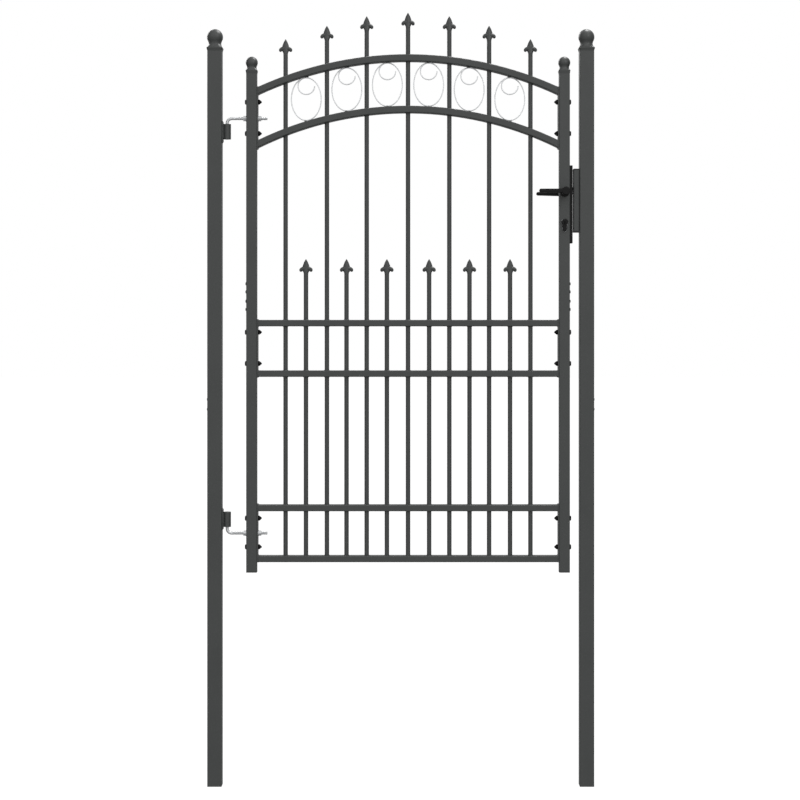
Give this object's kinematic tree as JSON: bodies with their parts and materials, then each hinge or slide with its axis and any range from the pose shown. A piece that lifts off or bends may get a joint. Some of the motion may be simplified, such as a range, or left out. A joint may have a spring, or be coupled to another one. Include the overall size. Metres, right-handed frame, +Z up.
{
  "type": "garden gate",
  "caption": "Steel garden gate leaf with arched rails, round spear-tipped pickets and scroll rings, hung on square ball-cap posts with a lever-handle mortice lock.",
  "frame": {"origin": "ground end of the posts, midway between them, on their centre plane", "axes": "+X from the hinge post to the lock post, +Y from the outer side towards the side the leaf opens to, +Z up"},
  "size_m": [1.0278, 0.12, 2.0476],
  "materials": {
    "anthracite_steel": "satin powder coat, anthracite grey",
    "black_metal": "satin black powder coat",
    "black_plastic": "moulded black plastic",
    "zinc_steel": "bright zinc plate",
    "galvanised_wire": "pale galvanised bar",
    "inner_steel": "galvanised sheet",
    "bolt_steel": "nickel-plated steel"
  },
  "bodies": {
    "posts": {"left_post_lower": "anthracite_steel", "left_post_upper": "anthracite_steel", "right_post_lower": "anthracite_steel", "right_post_upper": "anthracite_steel", "post_sleeves": "inner_steel", "post_caps": "anthracite_steel", "post_screws": "anthracite_steel", "hinge_plates": "anthracite_steel", "hinge_barrels": "anthracite_steel", "strike_box": "anthracite_steel", "strike_screws": "zinc_steel"},
    "leaf": {"hinge_stile_lower": "anthracite_steel", "hinge_stile_upper": "anthracite_steel", "lock_stile_lower": "anthracite_steel", "lock_stile_upper": "anthracite_steel", "stile_sleeves": "inner_steel", "stile_caps": "anthracite_steel", "stile_end_plugs": "black_plastic", "stile_screws": "anthracite_steel", "upper_arch": "anthracite_steel", "lower_arch": "anthracite_steel", "middle_rail_top": "anthracite_steel", "middle_rail_bottom": "anthracite_steel", "base_rail_top": "anthracite_steel", "base_rail_bottom": "anthracite_steel", "hinge_side_end_plates": "anthracite_steel", "lock_side_end_plates": "anthracite_steel", "long_picket_1": "anthracite_steel", "long_picket_2": "anthracite_steel", "long_picket_3": "anthracite_steel", "long_picket_4": "anthracite_steel", "long_picket_5": "anthracite_steel", "long_picket_6": "anthracite_steel", "long_picket_7": "anthracite_steel", "short_picket_1": "anthracite_steel", "short_picket_2": "anthracite_steel", "short_picket_3": "anthracite_steel", "short_picket_4": "anthracite_steel", "short_picket_5": "anthracite_steel", "short_picket_6": "anthracite_steel", "long_spear_heads": "anthracite_steel", "short_spear_heads": "anthracite_steel", "scroll_rings": "galvanised_wire", "panel_bolts": "black_metal", "panel_cap_nuts": "black_metal", "upper_hinge_bolt": "zinc_steel", "lower_hinge_bolt": "zinc_steel", "hinge_nuts": "zinc_steel", "hinge_washers": "zinc_steel", "lock_forend": "black_metal", "lock_case": "inner_steel", "lock_screws": "zinc_steel", "handle_roses": "black_metal", "cylinder_body": "black_metal"},
    "handle": {"outer_lever": "black_metal", "inner_lever": "black_metal", "spindle_and_follower": "inner_steel"},
    "latch_bolt": {"latch_bolt": "bolt_steel"},
    "key_plug": {"cylinder_plugs": "black_metal"},
    "dead_bolt": {"dead_bolt": "bolt_steel"}
  },
  "joints": [
    {"name": "leaf_swing", "type": "hinge", "parent": "posts", "child": "leaf", "pos_m": [-0.46, 0, 1.2], "axis": [0, 0, 1], "range_deg": [0, 105]},
    {"name": "handle_turn", "type": "hinge", "parent": "leaf", "child": "handle", "pos_m": [0.4335, 0, 1.5715], "axis": [0, -1, 0], "range_deg": [0, 40], "stiffness_Nm_per_rad": 1.2, "springref_deg": -28.65},
    {"name": "latch_slide", "type": "slide", "parent": "leaf", "child": "latch_bolt", "axis": [-1, 0, 0], "range_m": [0, 0.0092]},
    {"name": "key_turn", "type": "hinge", "parent": "leaf", "child": "key_plug", "pos_m": [0.4335, 0, 1.4915], "axis": [0, -1, 0], "range_deg": [0, 360]},
    {"name": "dead_bolt_slide", "type": "slide", "parent": "leaf", "child": "dead_bolt", "axis": [1, 0, 0], "range_m": [0, 0.014]}
  ],
  "couplings": [
    {"joint": "latch_slide", "follows": "handle_turn", "m_per_rad": 0.01317},
    {"joint": "key_turn", "follows": "dead_bolt_slide", "rad_per_m": 448.79}
  ]
}
